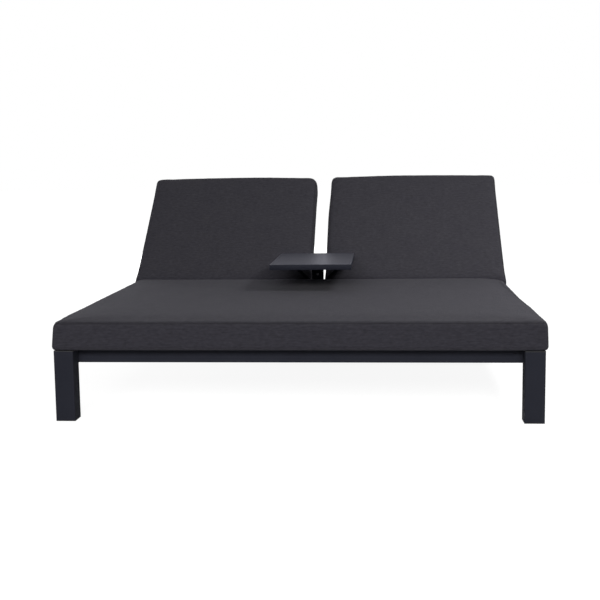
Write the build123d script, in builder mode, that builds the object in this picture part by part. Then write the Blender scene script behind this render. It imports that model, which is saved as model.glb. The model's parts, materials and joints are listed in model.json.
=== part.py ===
"""Double chaise lounger: an aluminium base frame, two reclining backs on rack props,
one wide seat cushion, two back cushions and a lift-off tray between them.

X runs across the lounger, Y from its foot end to its head end, Z up from the floor.
The origin is on the floor, in the middle of the length and the width.
"""

from build123d import *
from math import cos, radians, sin
import os

os.makedirs("parts", exist_ok=True)

# Driving dimensions, in millimetres and degrees
overall_length = 2030
overall_width = 1600
frame_height = 236
hinge_setback = 1302
recline_at_rest = 39.5
recline_limit = 50
back_length = 727

# Sections of the base frame
leg_width = 65
leg_wall = 3
rail_height = 50
rail_thickness = 30
side_rail_width = 40
beam_width = 50
rail_wall = 2
edge_radius = 2
seat_slat_width = 50
seat_slat_thickness = 20
seat_slat_wall = 1.5
seat_slat_count = 8
seat_slat_margin = 60

# Plastic parts of the legs
glide_thickness = 3
cap_thickness = 3
plug_depth = 15
plug_clearance = 0.2

# Sections of the backs
back_tube_width = 30
back_tube_height = 24
back_slat_width = 40
back_slat_thickness = 12
back_slat_wall = 1.2
back_slat_count = 8
back_slat_margin = 34
back_leg_clearance = 3
back_cushion_overhang = 10
back_tube_start = 14
bottom_tube_start = 22
inner_tube_face = 38

# Hinges of the backs
pin_radius = 5
bush_wall = 2
fit_clearance = 0.05
bracket_plate = 4
washer_gap = 0.5
bolt_head_radius = 8
bolt_head_thickness = 5
hinge_to_mid_rail = 31

# Props and racks
prop_length = 310
prop_bar_width = 16
prop_bar_thickness = 6
prop_tube_gap = 14
prop_plate = 3
prop_bracket_height = 18
prop_pin_radius = 4
rivet_head_radius = 6.5
rivet_head_thickness = 2.5
prop_arm_inset = 117
foot_bar_radius = 6
foot_bar_reach = 40
sleeve_radius = 7
sleeve_length = 16
rack_inset = 26
rack_plate = 6
rack_clearance = 0.5
rack_end_margin = 24
notch_depth = 8
notch_angles = (18, 29, 39.5, 50)
rack_rail_width = 30
pad_size = 24
pad_clearance = 0.3
rear_rail_drop = 2

# Corner brackets and bolts
angle_arm = 30
angle_height = 36
angle_plate = 4
corner_bolt_radius = 4
corner_bolt_head_radius = 6.5
corner_bolt_head_thickness = 5
corner_bolt_length = 10

# Tray between the backs
tray_width = 320
tray_length = 524
tray_thickness = 21
tray_rise = 209
tray_skin = 3
tray_edge_radius = 1.5
post_width = 50
post_depth = 24
post_wall = 2
socket_wall = 3.5
socket_clearance = 0.5
socket_depth = 90
seat_gap = 0.3
bracket_sheet = 5
bracket_stem_rise = 52
bracket_arm_rise = 75
bracket_arm_breadth = 18
bracket_inset = 10
runner_width = 12
runner_height = 12
runner_margin = 30
tray_to_post_rear = 8
tray_screw_radius = 3
tray_screw_head_radius = 5
tray_screw_head_thickness = 2.5
tray_screw_length = 9
tray_screw_count = 3
tray_screw_margin = 12

# Cushions
cushion_thickness = 96
cushion_overhang = 4
side_bulge = 4
cushion_gap = 70
cushion_to_screws = 1
cushion_corner = 16
seat_crown = 8
back_crown = 8
side_draw_in = 3
back_bevel_foot = 13
back_bevel_top = 68
end_round_angles = (0, 30, 60, 90)
end_crown_share = 0.35

# One overrun for every cut, and the sides of a bolt head
overrun = 5
head_side_count = 6

# Places that follow from the dimensions above
front_y = -overall_length / 2
rear_y = overall_length / 2
axis_y = front_y + hinge_setback
axis_z = frame_height - back_slat_thickness - back_tube_height / 2
rail_bottom = frame_height - rail_height
rail_mid_z = frame_height - rail_height / 2
leg_x = overall_width / 2 - leg_width / 2
leg_inner_x = overall_width / 2 - leg_width
leg_front_y = front_y + leg_width / 2
leg_rear_y = rear_y - leg_width / 2
side_rail_x = overall_width / 2 - side_rail_width / 2
side_rail_inner_x = overall_width / 2 - side_rail_width
front_rail_y = front_y + leg_width + rail_thickness / 2
front_rail_back_y = front_y + leg_width + rail_thickness
rear_rail_front_y = rear_y - leg_width
rear_rail_y = rear_rail_front_y + rail_thickness / 2
rear_rail_top = axis_z - back_tube_height / 2 - rear_rail_drop
rear_rail_mid_z = rear_rail_top - rail_height / 2
mid_rail_back_y = axis_y - hinge_to_mid_rail
mid_rail_y = mid_rail_back_y - rail_thickness / 2
outer_tube_x = leg_inner_x - back_leg_clearance - back_tube_width / 2
inner_tube_x = inner_tube_face + back_tube_width / 2
back_tube_stop = back_length - back_cushion_overhang
prop_arm_places = (outer_tube_x - prop_arm_inset, inner_tube_x + prop_arm_inset)
outer_tube_inner_x = outer_tube_x - back_tube_width / 2
inner_tube_outer_x = inner_tube_x + back_tube_width / 2
socket_width = post_width + 2 * (socket_clearance + socket_wall)
socket_length = post_depth + 2 * (socket_clearance + socket_wall)
post_y = mid_rail_back_y - socket_length / 2
socket_front_y = mid_rail_back_y - socket_length
rack_top = axis_z - sleeve_radius - rack_clearance
rack_height = rack_top - rail_bottom
rest_angle = radians(recline_at_rest)
foot_y = axis_y + 2 * prop_length * cos(rest_angle)
hinge_places = (outer_tube_x, inner_tube_x)
sides = {"left": -1, "right": 1}

# The plane of both backs at rest: across, up the slope, and out of the slope
back_plane = Plane(
    origin=(0, axis_y, axis_z),
    x_dir=(1, 0, 0),
    z_dir=(0, -sin(rest_angle), cos(rest_angle)),
)
up_slope = back_plane.y_dir
down_slope = -back_plane.y_dir
across = Vector(1, 0, 0)


def write(piece, name):
    """Labels a finished piece and writes its file."""
    piece.part.label = name
    export_step(piece.part, f"parts/{name}.step")


def up_back(x, along, out):
    """A plane that faces up the slope of the backs, at a point given in their plane."""
    return Plane(origin=back_plane.from_local_coords((x, along, out)), x_dir=across, z_dir=up_slope)


def across_back(x, along, out):
    """A plane that faces +X, with its own x up the slope, at a point given in the backs' plane."""
    return Plane(origin=back_plane.from_local_coords((x, along, out)), x_dir=up_slope, z_dir=across)


def facing_x(x, y, z):
    """A plane that faces +X, with its own x along +Y."""
    return Plane(origin=(x, y, z), x_dir=(0, 1, 0), z_dir=(1, 0, 0))


def facing_y(x, y, z):
    """A plane that faces +Y, with its own x along +X."""
    return Plane(origin=(x, y, z), x_dir=(1, 0, 0), z_dir=(0, 1, 0))


def tube(plane, width, height, length, wall):
    """Adds a hollow rectangular tube that runs from the plane along its normal."""
    with BuildSketch(plane) as section:
        RectangleRounded(width, height, edge_radius)
        Rectangle(width - 2 * wall, height - 2 * wall, mode=Mode.SUBTRACT)
    extrude(section.sketch, amount=length)


def rod(plane, radius, length):
    """Adds a round bar that runs from the plane along its normal."""
    with BuildSketch(plane) as section:
        Circle(radius)
    extrude(section.sketch, amount=length)


def drill(plane, radius, depth):
    """Cuts a round hole of the given depth from the plane along its normal."""
    with BuildSketch(plane.offset(-overrun)) as hole:
        Circle(radius)
    extrude(hole.sketch, amount=depth + overrun, mode=Mode.SUBTRACT)


def clevis(plane, inside, reach, height, plate, hole):
    """Adds a U bracket. The plane's x runs from the base to the pin and its normal along the pin."""
    for face in (inside / 2, -inside / 2 - plate):
        with BuildSketch(plane.offset(face)) as ear:
            with Locations((reach / 2, 0)):
                Rectangle(reach, height)
            with Locations((reach, 0)):
                Circle(height / 2)
                Circle(hole, mode=Mode.SUBTRACT)
        extrude(ear.sketch, amount=plate)
    with BuildSketch(plane.offset(-inside / 2 - plate)) as base:
        with Locations((plate / 2, 0)):
            Rectangle(plate, height)
    extrude(base.sketch, amount=inside + 2 * plate)


# Legs: square tubes with a floor glide below and a cap flush with the frame on top
leg_places = {
    "front_left_leg": (-leg_x, leg_front_y),
    "front_right_leg": (leg_x, leg_front_y),
    "rear_left_leg": (-leg_x, leg_rear_y),
    "rear_right_leg": (leg_x, leg_rear_y),
}
leg_height = frame_height - glide_thickness - cap_thickness
leg_bore = leg_width - 2 * leg_wall
rear_angle_y = rear_rail_front_y + rail_thickness + angle_arm / 2

for leg_name, (x, y) in leg_places.items():
    with BuildPart() as leg:
        tube(Plane((x, y, glide_thickness)), leg_width, leg_width, leg_height, leg_wall)
        if y > 0:
            inner_face = leg_inner_x if x > 0 else -leg_inner_x
            inward = 1 if x > 0 else -1
            drill(
                Plane(origin=(inner_face, rear_angle_y, rear_rail_mid_z), z_dir=(inward, 0, 0)),
                corner_bolt_radius + fit_clearance,
                leg_wall,
            )
    write(leg, leg_name)

with BuildPart() as glides:
    for x, y in leg_places.values():
        with BuildSketch(Plane((x, y, 0))):
            RectangleRounded(leg_width, leg_width, edge_radius)
        extrude(amount=glide_thickness)
        with BuildSketch(Plane((x, y, glide_thickness))):
            Rectangle(leg_bore - 2 * plug_clearance, leg_bore - 2 * plug_clearance)
        extrude(amount=plug_depth)
write(glides, "floor_glides")

with BuildPart() as leg_caps:
    for x, y in leg_places.values():
        with BuildSketch(Plane((x, y, frame_height - cap_thickness))):
            RectangleRounded(leg_width, leg_width, edge_radius)
        extrude(amount=cap_thickness)
        with BuildSketch(Plane((x, y, frame_height - cap_thickness - plug_depth))):
            Rectangle(leg_bore - 2 * plug_clearance, leg_bore - 2 * plug_clearance)
        extrude(amount=plug_depth)
write(leg_caps, "leg_caps")

# Base frame rails
front_angle_x = side_rail_inner_x - angle_arm / 2
front_angle_y = front_rail_back_y + angle_arm / 2
rear_angle_x = leg_inner_x - angle_arm / 2

with BuildPart() as front_rail:
    tube(
        facing_x(-side_rail_inner_x, front_rail_y, rail_mid_z),
        rail_thickness,
        rail_height,
        2 * side_rail_inner_x,
        rail_wall,
    )
    for side in sides.values():
        bolt_face = Plane(origin=(side * front_angle_x, front_rail_back_y, rail_mid_z), z_dir=(0, -1, 0))
        drill(bolt_face, corner_bolt_radius + fit_clearance, rail_wall)
write(front_rail, "front_rail")

with BuildPart() as rear_rail:
    tube(
        facing_x(-leg_inner_x, rear_rail_y, rear_rail_mid_z),
        rail_thickness,
        rail_height,
        2 * leg_inner_x,
        rail_wall,
    )
    for side in sides.values():
        bolt_face = Plane(
            origin=(side * rear_angle_x, rear_rail_front_y + rail_thickness, rear_rail_mid_z),
            z_dir=(0, -1, 0),
        )
        drill(bolt_face, corner_bolt_radius + fit_clearance, rail_wall)
write(rear_rail, "rear_rail")

side_rail_length = overall_length - 2 * leg_width
for side_name, side in sides.items():
    with BuildPart() as side_rail:
        tube(
            facing_y(side * side_rail_x, front_y + leg_width, rail_mid_z),
            side_rail_width,
            rail_height,
            side_rail_length,
            rail_wall,
        )
        bolt_face = Plane(origin=(side * side_rail_inner_x, front_angle_y, rail_mid_z), z_dir=(side, 0, 0))
        drill(bolt_face, corner_bolt_radius + fit_clearance, rail_wall)
    write(side_rail, f"{side_name}_side_rail")

with BuildPart() as front_beam:
    tube(
        facing_y(0, front_rail_back_y, rail_mid_z),
        beam_width,
        rail_height,
        socket_front_y - front_rail_back_y,
        rail_wall,
    )
write(front_beam, "front_centre_beam")

with BuildPart() as rear_beam:
    tube(
        facing_y(0, mid_rail_back_y, rear_rail_mid_z),
        beam_width,
        rail_height,
        rear_rail_front_y - mid_rail_back_y,
        rail_wall,
    )
write(rear_beam, "rear_centre_beam")

mid_rail_length = side_rail_inner_x - socket_width / 2
for side_name, side in sides.items():
    start_x = socket_width / 2 if side > 0 else -side_rail_inner_x
    with BuildPart() as mid_rail:
        tube(
            facing_x(start_x, mid_rail_y, rail_mid_z),
            rail_thickness,
            rail_height,
            mid_rail_length,
            rail_wall,
        )
    write(mid_rail, f"{side_name}_mid_rail")

# Seat slats, set between the side rails and the centre beam, flush with their tops
seat_slat_length = side_rail_inner_x - beam_width / 2
seat_slat_first = front_rail_back_y + seat_slat_margin
seat_slat_last = mid_rail_y - rail_thickness / 2 - seat_slat_margin
seat_slat_pitch = (seat_slat_last - seat_slat_first) / (seat_slat_count - 1)
for side_name, side in sides.items():
    start_x = beam_width / 2 if side > 0 else -side_rail_inner_x
    with BuildPart() as seat_slats:
        for row in range(seat_slat_count):
            tube(
                facing_x(
                    start_x,
                    seat_slat_first + row * seat_slat_pitch,
                    frame_height - seat_slat_thickness / 2,
                ),
                seat_slat_width,
                seat_slat_thickness,
                seat_slat_length,
                seat_slat_wall,
            )
    write(seat_slats, f"{side_name}_seat_slats")

# Corner brackets: an angle at each end of the front and the rear rail, with two bolts each
with BuildPart() as angles:
    for side in sides.values():
        corners = (
            (side * side_rail_inner_x, front_rail_back_y, rail_mid_z),
            (side * leg_inner_x, rear_rail_front_y + rail_thickness, rear_rail_mid_z),
        )
        for corner_x, corner_y, middle in corners:
            with BuildSketch(Plane((0, 0, middle - angle_height / 2))):
                with Locations((corner_x - side * angle_arm / 2, corner_y + angle_plate / 2)):
                    Rectangle(angle_arm, angle_plate)
                with Locations((corner_x - side * angle_plate / 2, corner_y + angle_arm / 2)):
                    Rectangle(angle_plate, angle_arm)
            extrude(amount=angle_height)
            drill(
                Plane(
                    origin=(corner_x - side * angle_arm / 2, corner_y + angle_plate, middle),
                    z_dir=(0, -1, 0),
                ),
                corner_bolt_radius + fit_clearance,
                angle_plate,
            )
            drill(
                Plane(
                    origin=(corner_x - side * angle_plate, corner_y + angle_arm / 2, middle),
                    z_dir=(side, 0, 0),
                ),
                corner_bolt_radius + fit_clearance,
                angle_plate,
            )
write(angles, "corner_brackets")

with BuildPart() as corner_bolts:
    for side in sides.values():
        bolt_faces = (
            Plane(
                origin=(side * front_angle_x, front_rail_back_y + angle_plate, rail_mid_z),
                z_dir=(0, 1, 0),
            ),
            Plane(
                origin=(side * (side_rail_inner_x - angle_plate), front_angle_y, rail_mid_z),
                z_dir=(-side, 0, 0),
            ),
            Plane(
                origin=(
                    side * rear_angle_x,
                    rear_rail_front_y + rail_thickness + angle_plate,
                    rear_rail_mid_z,
                ),
                z_dir=(0, 1, 0),
            ),
            Plane(
                origin=(side * (leg_inner_x - angle_plate), rear_angle_y, rear_rail_mid_z),
                z_dir=(-side, 0, 0),
            ),
        )
        for face in bolt_faces:
            with BuildSketch(face):
                RegularPolygon(corner_bolt_head_radius, head_side_count)
            extrude(amount=corner_bolt_head_thickness)
            rod(face, corner_bolt_radius, -corner_bolt_length)
write(corner_bolts, "corner_bolts")

# Recline hinges: U brackets on the mid rails, with a bolt and a nut through each
hinge_inside = back_tube_width + 2 * washer_gap
hinge_width = hinge_inside + 2 * bracket_plate

with BuildPart() as hinge_brackets:
    for side in sides.values():
        for place in hinge_places:
            clevis(
                facing_x(side * place, mid_rail_back_y, axis_z),
                hinge_inside,
                hinge_to_mid_rail,
                back_tube_height,
                bracket_plate,
                pin_radius + fit_clearance,
            )
write(hinge_brackets, "hinge_brackets")

with BuildPart() as hinge_bolts:
    for side in sides.values():
        for place in hinge_places:
            head_x = side * (place + hinge_width / 2)
            head_plane = Plane(origin=(head_x, axis_y, axis_z), z_dir=(side, 0, 0))
            with BuildSketch(head_plane):
                RegularPolygon(bolt_head_radius, head_side_count)
            extrude(amount=bolt_head_thickness)
            rod(head_plane, pin_radius, -hinge_width - bolt_head_thickness)
write(hinge_bolts, "hinge_bolts")

with BuildPart() as hinge_nuts:
    for side in sides.values():
        for place in hinge_places:
            nut_x = side * (place - hinge_width / 2)
            with BuildSketch(Plane(origin=(nut_x, axis_y, axis_z), z_dir=(-side, 0, 0))):
                RegularPolygon(bolt_head_radius, head_side_count)
                Circle(pin_radius + fit_clearance, mode=Mode.SUBTRACT)
            extrude(amount=bolt_head_thickness)
write(hinge_nuts, "hinge_nuts")

# Racks for the props: notched plates on rails below the backs
rack_places = (prop_arm_places[0] + rack_inset, prop_arm_places[1] - rack_inset)
rack_rail_start = mid_rail_back_y - rail_thickness
rack_start = axis_y + 2 * prop_length * cos(radians(recline_limit)) - rack_end_margin
rack_stop = axis_y + 2 * prop_length + sleeve_radius

with BuildPart() as rack_rails:
    for side in sides.values():
        for place in rack_places:
            tube(
                facing_y(side * place, rack_rail_start, rail_bottom - rack_rail_width / 2),
                rack_rail_width,
                rack_rail_width,
                rear_rail_front_y - rack_rail_start,
                rail_wall,
            )
write(rack_rails, "rack_rails")

notch_radius = sleeve_radius + rack_clearance
with BuildPart() as racks:
    for side in sides.values():
        for place in rack_places:
            with BuildSketch(facing_x(side * place - rack_plate / 2, 0, rail_bottom)):
                with Locations(((rack_start + rack_stop) / 2, rack_height / 2)):
                    Rectangle(rack_stop - rack_start, rack_height)
                for angle in notch_angles:
                    notch_y = axis_y + 2 * prop_length * cos(radians(angle))
                    with Locations((notch_y, rack_height - notch_depth + notch_radius)):
                        Circle(notch_radius, mode=Mode.SUBTRACT)
            extrude(amount=rack_plate)
write(racks, "prop_racks")

pad_thickness = rear_rail_drop - pad_clearance
with BuildPart() as pads:
    for side in sides.values():
        for place in hinge_places:
            with BuildSketch(Plane((side * place, rear_rail_y, rear_rail_top))):
                Rectangle(pad_size, pad_size)
            extrude(amount=pad_thickness)
write(pads, "back_rest_pads")

# Socket for the tray post, between the mid rails: a tube with a floor
socket_foot = frame_height - socket_depth
with BuildPart() as socket:
    with BuildSketch(Plane((0, post_y, socket_foot))):
        RectangleRounded(socket_width, socket_length, edge_radius)
    extrude(amount=socket_depth)
    with BuildSketch(Plane((0, post_y, socket_foot + socket_wall))):
        Rectangle(post_width + 2 * socket_clearance, post_depth + 2 * socket_clearance)
    extrude(amount=socket_depth - socket_wall + overrun, mode=Mode.SUBTRACT)
write(socket, "tray_post_socket")


def cushion_outline(plane, half_width, drop, crown):
    """A cushion's section: flat below, full sides, rounded edges and a crowned top."""
    side = half_width - drop
    flat = side - cushion_corner
    top = cushion_thickness - drop
    low_turn = drop + cushion_corner
    high_turn = top - cushion_corner
    middle = cushion_thickness / 2
    with BuildSketch(plane) as section:
        with BuildLine():
            Line((-flat, drop), (flat, drop))
            RadiusArc((flat, drop), (side, low_turn), -cushion_corner)
            ThreePointArc((side, low_turn), (side + side_bulge, middle), (side, high_turn))
            RadiusArc((side, high_turn), (flat, top), -cushion_corner)
            ThreePointArc((flat, top), (0, top + crown), (-flat, top))
            RadiusArc((-flat, top), (-side, high_turn), -cushion_corner)
            ThreePointArc((-side, high_turn), (-side - side_bulge, middle), (-side, low_turn))
            RadiusArc((-side, low_turn), (-flat, drop), -cushion_corner)
        make_face()
    return section.sketch.faces()[0]


def cushion(base, half_width, length, crown):
    """Adds a cushion along the base plane's back side: two rounded ends and a crowned middle."""
    end_round = cushion_corner / 2
    end_crown = crown * end_crown_share
    near_end, far_end = [], []
    for angle in end_round_angles:
        distance = end_round * (1 - cos(radians(angle)))
        drop = end_round * (1 - sin(radians(angle)))
        near_end.append(cushion_outline(base.offset(-distance), half_width, drop, end_crown))
        far_end.append(cushion_outline(base.offset(distance - length), half_width, drop, end_crown))
    middle = cushion_outline(base.offset(-length / 2), half_width - side_draw_in, 0, crown)
    loft(near_end)
    loft([near_end[-1], middle, far_end[-1]])
    loft(far_end)


post_front_y = post_y - post_depth / 2
seat_half_width = overall_width / 2 + cushion_overhang
screw_face_y = post_front_y - bracket_sheet - tray_screw_head_thickness
seat_cushion_length = screw_face_y - cushion_to_screws - front_y
with BuildPart() as seat_cushion:
    cushion(
        Plane(origin=(0, front_y, frame_height), x_dir=(1, 0, 0), z_dir=(0, -1, 0)),
        seat_half_width,
        seat_cushion_length,
        seat_crown,
    )
write(seat_cushion, "seat_cushion")

# Backs: a ladder frame of tubes, slats on its face, a cushion and two prop pivots
slat_length = outer_tube_x - inner_tube_x + back_tube_width
slat_x = (outer_tube_x + inner_tube_x) / 2
slat_first = back_slat_margin + back_slat_width / 2
slat_last = back_tube_stop - back_slat_width / 2
slat_pitch = (slat_last - slat_first) / (back_slat_count - 1)
slat_out = back_tube_height / 2 + back_slat_thickness / 2
cross_tube_length = outer_tube_inner_x - inner_tube_outer_x
prop_tube_middle = prop_length - prop_tube_gap - back_tube_width / 2
cross_tubes = {
    "bottom_tube": bottom_tube_start + back_tube_width / 2,
    "prop_tube": prop_tube_middle,
    "top_tube": back_tube_stop - back_tube_width / 2,
}
cushion_out = back_tube_height / 2 + back_slat_thickness + seat_gap
back_half_width = (seat_half_width - cushion_gap / 2) / 2
back_cushion_x = cushion_gap / 2 + back_half_width
bush_radius = pin_radius + bush_wall
prop_inside = prop_bar_thickness + 2 * washer_gap
prop_plane = Plane(
    origin=back_plane.from_local_coords((0, prop_length, 0)),
    x_dir=(0, cos(rest_angle), -sin(rest_angle)),
    z_dir=(1, 0, 0),
)

for side_name, side in sides.items():
    for tube_name, place in {"outer": outer_tube_x, "inner": inner_tube_x}.items():
        with BuildPart() as side_tube:
            tube(
                up_back(side * place, -back_tube_start, 0),
                back_tube_width,
                back_tube_height,
                back_tube_start + back_tube_stop,
                rail_wall,
            )
            drill(
                across_back(side * place - back_tube_width / 2, 0, 0),
                bush_radius + fit_clearance,
                back_tube_width,
            )
        write(side_tube, f"{side_name}_back_{tube_name}_tube")

    start_x = inner_tube_outer_x if side > 0 else -outer_tube_inner_x
    for tube_name, along in cross_tubes.items():
        with BuildPart() as cross_tube:
            tube(
                across_back(start_x, along, 0),
                back_tube_width,
                back_tube_height,
                cross_tube_length,
                rail_wall,
            )
        write(cross_tube, f"{side_name}_back_{tube_name}")

    with BuildPart() as back_slats:
        for row in range(back_slat_count):
            tube(
                across_back(side * slat_x - slat_length / 2, slat_first + row * slat_pitch, slat_out),
                back_slat_width,
                back_slat_thickness,
                slat_length,
                back_slat_wall,
            )
    write(back_slats, f"{side_name}_back_slats")

    with BuildPart() as tube_caps:
        for place in hinge_places:
            cap_plane = up_back(side * place, back_tube_stop, 0)
            with BuildSketch(cap_plane):
                RectangleRounded(back_tube_width, back_tube_height, edge_radius)
            extrude(amount=cap_thickness)
            with BuildSketch(cap_plane):
                Rectangle(
                    back_tube_width - 2 * (rail_wall + plug_clearance),
                    back_tube_height - 2 * (rail_wall + plug_clearance),
                )
            extrude(amount=-plug_depth)
    write(tube_caps, f"{side_name}_back_tube_caps")

    with BuildPart() as bushes:
        for place in hinge_places:
            with BuildSketch(across_back(side * place - back_tube_width / 2, 0, 0)):
                Circle(bush_radius)
                Circle(pin_radius + fit_clearance, mode=Mode.SUBTRACT)
            extrude(amount=back_tube_width)
    write(bushes, f"{side_name}_hinge_bushes")

    with BuildPart() as prop_brackets:
        for place in prop_arm_places:
            clevis(
                across_back(side * place, prop_length - prop_tube_gap, 0),
                prop_inside,
                prop_tube_gap,
                prop_bracket_height,
                prop_plate,
                prop_pin_radius + fit_clearance,
            )
    write(prop_brackets, f"{side_name}_prop_brackets")

    rivet_length = prop_inside + 2 * prop_plate
    with BuildPart() as prop_rivets:
        for place in prop_arm_places:
            rivet_x = side * place - rivet_length / 2
            rod(across_back(rivet_x, prop_length, 0), prop_pin_radius, rivet_length)
            rod(across_back(rivet_x, prop_length, 0), rivet_head_radius, -rivet_head_thickness)
            rod(
                across_back(rivet_x + rivet_length, prop_length, 0),
                rivet_head_radius,
                rivet_head_thickness,
            )
    write(prop_rivets, f"{side_name}_prop_rivets")

    with BuildPart() as back_cushion:
        cushion(
            Plane(
                origin=back_plane.from_local_coords((side * back_cushion_x, back_bevel_foot, cushion_out)),
                x_dir=across,
                z_dir=down_slope,
            ),
            back_half_width,
            back_length - back_bevel_foot,
            back_crown,
        )
        bevel_rise = cushion_thickness + back_crown
        bevel_run = back_bevel_top - back_bevel_foot
        with BuildSketch(
            across_back(
                side * back_cushion_x - back_half_width - side_bulge - overrun,
                back_bevel_foot,
                cushion_out,
            )
        ):
            with BuildLine():
                Polyline(
                    (0, 0),
                    (bevel_run, bevel_rise),
                    (-bevel_run, bevel_rise),
                    (-bevel_run, 0),
                    close=True,
                )
            make_face()
        extrude(amount=2 * (back_half_width + side_bulge + overrun), mode=Mode.SUBTRACT)
    write(back_cushion, f"{side_name}_back_cushion")

    # Props: two flat arms, a foot bar and the sleeves that drop into the rack notches
    with BuildPart() as prop_arms:
        for place in prop_arm_places:
            with BuildSketch(prop_plane.offset(side * place - prop_bar_thickness / 2)):
                with Locations((prop_length / 2, 0)):
                    SlotCenterToCenter(prop_length, prop_bar_width)
                Circle(prop_pin_radius + fit_clearance, mode=Mode.SUBTRACT)
                with Locations((prop_length, 0)):
                    Circle(foot_bar_radius + fit_clearance, mode=Mode.SUBTRACT)
            extrude(amount=prop_bar_thickness)
    write(prop_arms, f"{side_name}_prop_arms")

    bar_ends = (prop_arm_places[0] + foot_bar_reach, prop_arm_places[1] - foot_bar_reach)
    bar_start = min(side * end for end in bar_ends)
    with BuildPart() as foot_bar:
        rod(facing_x(bar_start, foot_y, axis_z), foot_bar_radius, bar_ends[0] - bar_ends[1])
    write(foot_bar, f"{side_name}_prop_foot_bar")

    with BuildPart() as sleeves:
        for place in rack_places:
            with BuildSketch(facing_x(side * place - sleeve_length / 2, foot_y, axis_z)):
                Circle(sleeve_radius)
                Circle(foot_bar_radius + fit_clearance, mode=Mode.SUBTRACT)
            extrude(amount=sleeve_length)
    write(sleeves, f"{side_name}_prop_sleeves")

# Tray: a skirted top on runners, held by a post and a Y bracket, lifted out of the socket
tray_height = frame_height + tray_rise
bracket_stem_foot = frame_height + bracket_stem_rise
bracket_arm_foot = frame_height + bracket_arm_rise
bracket_arm_spread = tray_width / 2 - bracket_inset
tray_rear_y = post_y + post_depth / 2 + tray_to_post_rear
tray_y = tray_rear_y - tray_length / 2
tray_front_y = tray_rear_y - tray_length
tray_ceiling = tray_height - tray_skin
post_foot = socket_foot + socket_wall + seat_gap
screw_first = bracket_stem_foot + tray_screw_margin
screw_last = tray_height - tray_thickness - tray_screw_margin
screw_pitch = (screw_last - screw_first) / (tray_screw_count - 1)
screw_heights = [screw_first + row * screw_pitch for row in range(tray_screw_count)]

with BuildPart() as tray_top:
    with BuildSketch(Plane((0, tray_y, tray_height - tray_thickness))):
        Rectangle(tray_width, tray_length)
    extrude(amount=tray_thickness)
    with BuildSketch(Plane((0, tray_y, tray_height - tray_thickness))):
        Rectangle(tray_width - 2 * tray_skin, tray_length - 2 * tray_skin)
    extrude(amount=tray_thickness - tray_skin, mode=Mode.SUBTRACT)
    upper_edges = tray_top.faces().sort_by(Axis.Z)[-1].edges()
    fillet(upper_edges, tray_edge_radius)
write(tray_top, "tray_top")

with BuildPart() as tray_post:
    tube(Plane((0, post_y, post_foot)), post_width, post_depth, tray_ceiling - post_foot, post_wall)
    for height in screw_heights:
        drill(facing_y(0, post_front_y, height), tray_screw_radius + fit_clearance, post_wall)
write(tray_post, "tray_post")

runner_foot = tray_ceiling - runner_height
with BuildPart() as tray_bracket:
    bracket_plane = Plane(origin=(0, post_front_y, 0), x_dir=(1, 0, 0), z_dir=(0, -1, 0))
    with BuildSketch(bracket_plane):
        with Locations((0, (bracket_stem_foot + runner_foot) / 2)):
            Rectangle(post_width, runner_foot - bracket_stem_foot)
        for side in sides.values():
            foot_x = side * post_width / 2
            tip_x = side * bracket_arm_spread
            with BuildLine():
                Polyline(
                    (foot_x, bracket_arm_foot),
                    (tip_x, runner_foot),
                    (tip_x - side * bracket_arm_breadth, runner_foot),
                    (foot_x, bracket_arm_foot + bracket_arm_breadth),
                    close=True,
                )
            make_face()
    extrude(amount=bracket_sheet)
    for height in screw_heights:
        drill(
            facing_y(0, post_front_y - bracket_sheet, height),
            tray_screw_radius + fit_clearance,
            bracket_sheet,
        )
write(tray_bracket, "tray_bracket")

runner_length = tray_length - 2 * runner_margin
with BuildPart() as tray_runners:
    for side in sides.values():
        runner_x = side * (bracket_arm_spread - runner_width / 2)
        with BuildSketch(Plane((runner_x, tray_y, runner_foot))):
            Rectangle(runner_width, runner_length)
        extrude(amount=runner_height)
write(tray_runners, "tray_runners")

with BuildPart() as tray_screws:
    for height in screw_heights:
        screw_plane = facing_y(0, post_front_y - bracket_sheet, height)
        rod(screw_plane, tray_screw_head_radius, -tray_screw_head_thickness)
        rod(screw_plane, tray_screw_radius, tray_screw_length)
write(tray_screws, "tray_screws")
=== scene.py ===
"""The looks of a double chaise lounger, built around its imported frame.

Everything is in metres: X across, Y from the foot end to the head end, Z up from the floor.
"""

import json
from functools import partial
from math import cos, pi, radians, sin
from types import SimpleNamespace

import bmesh
import bpy
import numpy as np
from mathutils import Matrix, Vector, noise
from mathutils.bvhtree import BVHTree
from mathutils.kdtree import KDTree


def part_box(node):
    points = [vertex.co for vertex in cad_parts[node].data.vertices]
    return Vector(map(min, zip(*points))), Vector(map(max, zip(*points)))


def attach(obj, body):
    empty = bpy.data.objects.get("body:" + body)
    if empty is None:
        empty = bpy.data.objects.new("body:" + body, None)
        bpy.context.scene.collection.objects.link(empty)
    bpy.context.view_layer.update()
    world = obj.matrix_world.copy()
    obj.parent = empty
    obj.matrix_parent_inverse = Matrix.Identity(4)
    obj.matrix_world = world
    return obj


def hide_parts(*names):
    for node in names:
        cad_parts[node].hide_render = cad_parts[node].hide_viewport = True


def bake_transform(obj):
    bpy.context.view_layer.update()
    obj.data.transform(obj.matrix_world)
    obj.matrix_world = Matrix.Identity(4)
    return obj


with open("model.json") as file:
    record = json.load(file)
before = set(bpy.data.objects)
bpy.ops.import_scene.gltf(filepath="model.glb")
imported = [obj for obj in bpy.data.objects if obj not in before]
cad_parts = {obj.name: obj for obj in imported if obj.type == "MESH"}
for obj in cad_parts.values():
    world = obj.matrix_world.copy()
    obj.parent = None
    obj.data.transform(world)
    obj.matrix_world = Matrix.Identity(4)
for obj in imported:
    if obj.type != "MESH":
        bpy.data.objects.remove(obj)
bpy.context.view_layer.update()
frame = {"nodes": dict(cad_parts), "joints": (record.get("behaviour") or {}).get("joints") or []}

# Camera, solved from the photograph
camera_place = Vector((0.28095, -4.41686, 0.84347))
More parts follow.
